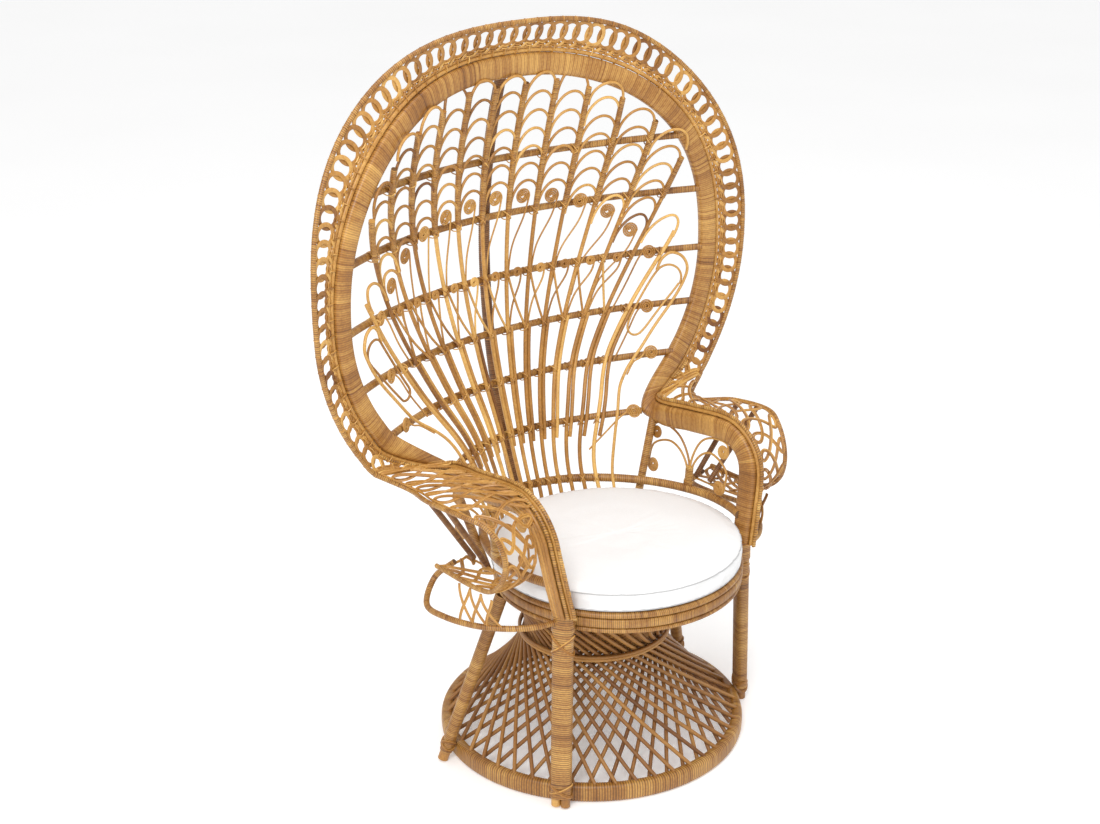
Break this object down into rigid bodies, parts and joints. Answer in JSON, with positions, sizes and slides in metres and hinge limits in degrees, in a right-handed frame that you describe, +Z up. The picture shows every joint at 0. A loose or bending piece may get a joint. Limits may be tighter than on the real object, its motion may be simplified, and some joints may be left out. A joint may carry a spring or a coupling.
{
  "type": "wicker peacock armchair",
  "caption": "Wicker armchair with a tall round fan back, lace border, rolled arms, a waisted rod pedestal and a loose round seat cushion.",
  "frame": {"origin": "on the floor, at the middle of the footprint", "axes": "+Z up, the chair faces -Y, the sitter's left is +X, the same on both sides of X = 0"},
  "size_m": [1.0988, 0.6696, 1.4313],
  "materials": {
    "wrapped_cane": "satin",
    "bare_cane": "satin",
    "dark_cane": "satin",
    "cotton": "matt",
    "foam": "matt"
  },
  "bodies": {
    "chair": {"arm_curls_left": "bare_cane", "arm_curls_right": "bare_cane", "arm_frame_left": "wrapped_cane", "arm_frame_right": "wrapped_cane", "arm_lace_left": "bare_cane", "arm_lace_right": "bare_cane", "arm_loop_left": "wrapped_cane", "arm_loop_right": "wrapped_cane", "arm_rim_left": "wrapped_cane", "arm_rim_right": "wrapped_cane", "arm_strut_left_1": "dark_cane", "arm_strut_left_2": "dark_cane", "arm_strut_right_1": "dark_cane", "arm_strut_right_2": "dark_cane", "back_hoop": "wrapped_cane", "back_rail_1": "wrapped_cane", "back_rail_2": "wrapped_cane", "back_rail_3": "wrapped_cane", "back_rail_4": "wrapped_cane", "back_rail_5": "wrapped_cane", "back_rail_6": "wrapped_cane", "base_hoop": "wrapped_cane", "centre_pole": "dark_cane", "fan_canes_left_1": "bare_cane", "fan_canes_left_2": "bare_cane", "fan_canes_left_3": "bare_cane", "fan_canes_left_4": "bare_cane", "fan_canes_left_5": "bare_cane", "fan_canes_right_1": "bare_cane", "fan_canes_right_2": "bare_cane", "fan_canes_right_3": "bare_cane", "fan_canes_right_4": "bare_cane", "fan_canes_right_5": "bare_cane", "frame_trim": "bare_cane", "front_leg_left": "wrapped_cane", "front_leg_right": "wrapped_cane", "hoop_rim": "wrapped_cane", "lace_border": "bare_cane", "pedestal_rods_inner": "bare_cane", "pedestal_rods_outer": "bare_cane", "rear_leg_left": "wrapped_cane", "rear_leg_right": "wrapped_cane", "rear_post_left": "wrapped_cane", "rear_post_right": "wrapped_cane", "seat_bearer_front": "dark_cane", "seat_bearer_rear": "dark_cane", "seat_deck": "dark_cane", "seat_rail": "wrapped_cane", "seat_ring_lower": "wrapped_cane", "seat_ring_middle": "wrapped_cane", "seat_ring_upper": "wrapped_cane", "waist_ring": "wrapped_cane"},
    "cushion": {"cushion_bottom_panel": "cotton", "cushion_foam": "foam", "cushion_side_band": "cotton", "cushion_top_panel": "cotton"}
  },
  "joints": [
    {"name": "cushion_lift", "type": "slide", "parent": "chair", "child": "cushion", "axis": [0, 0, 1], "range_m": [0, 0.3]}
  ]
}
